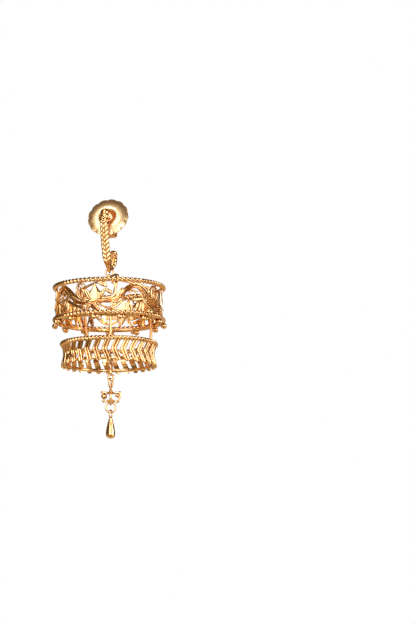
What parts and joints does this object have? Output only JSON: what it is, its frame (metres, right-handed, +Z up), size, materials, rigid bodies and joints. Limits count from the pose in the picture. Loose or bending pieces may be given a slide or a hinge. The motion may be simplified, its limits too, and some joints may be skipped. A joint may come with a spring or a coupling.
{
  "type": "drop earring",
  "caption": "Gold crown drop earring: J-shaped ear hoop on a post with a friction back, openwork lotus-vine crown and ribbed ring below it, short chain, flower bead and teardrop.",
  "frame": {"origin": "on the post's axis, where it passes through the ear lobe", "axes": "+Z up, -Y to the front of the hoop, +Y back along the post as seen from above, +X to the wearer's one side"},
  "size_m": [0.0271, 0.027, 0.0572],
  "materials": {
    "polished_gold": "polished warm gold, darker in the recesses",
    "satin_gold": "satin pale gold sheet"
  },
  "bodies": {
    "stud": {"ear_hoop": "polished_gold"},
    "clutch": {"ear_back": "satin_gold"},
    "ring": {"jump_ring": "polished_gold"},
    "crown": {"hanger": "polished_gold", "upper_tier": "polished_gold", "lower_tier": "polished_gold", "drop_chain": "polished_gold", "flower_bead": "polished_gold", "drop_ring": "polished_gold", "teardrop": "polished_gold"}
  },
  "joints": [
    {"name": "clutch_slide", "type": "slide", "parent": "stud", "child": "clutch", "axis": [0, 0.9397, -0.342], "range_m": [0, 0.0065]},
    {"name": "ring_swing", "type": "hinge", "parent": "stud", "child": "ring", "pos_m": [0, 0.00291, -0.0133], "axis": [0, 1, 0], "range_deg": [-35, 35]},
    {"name": "crown_rock", "type": "hinge", "parent": "ring", "child": "crown", "pos_m": [0, 0.00291, -0.01449], "axis": [1, 0, 0], "range_deg": [-30, 30]}
  ]
}
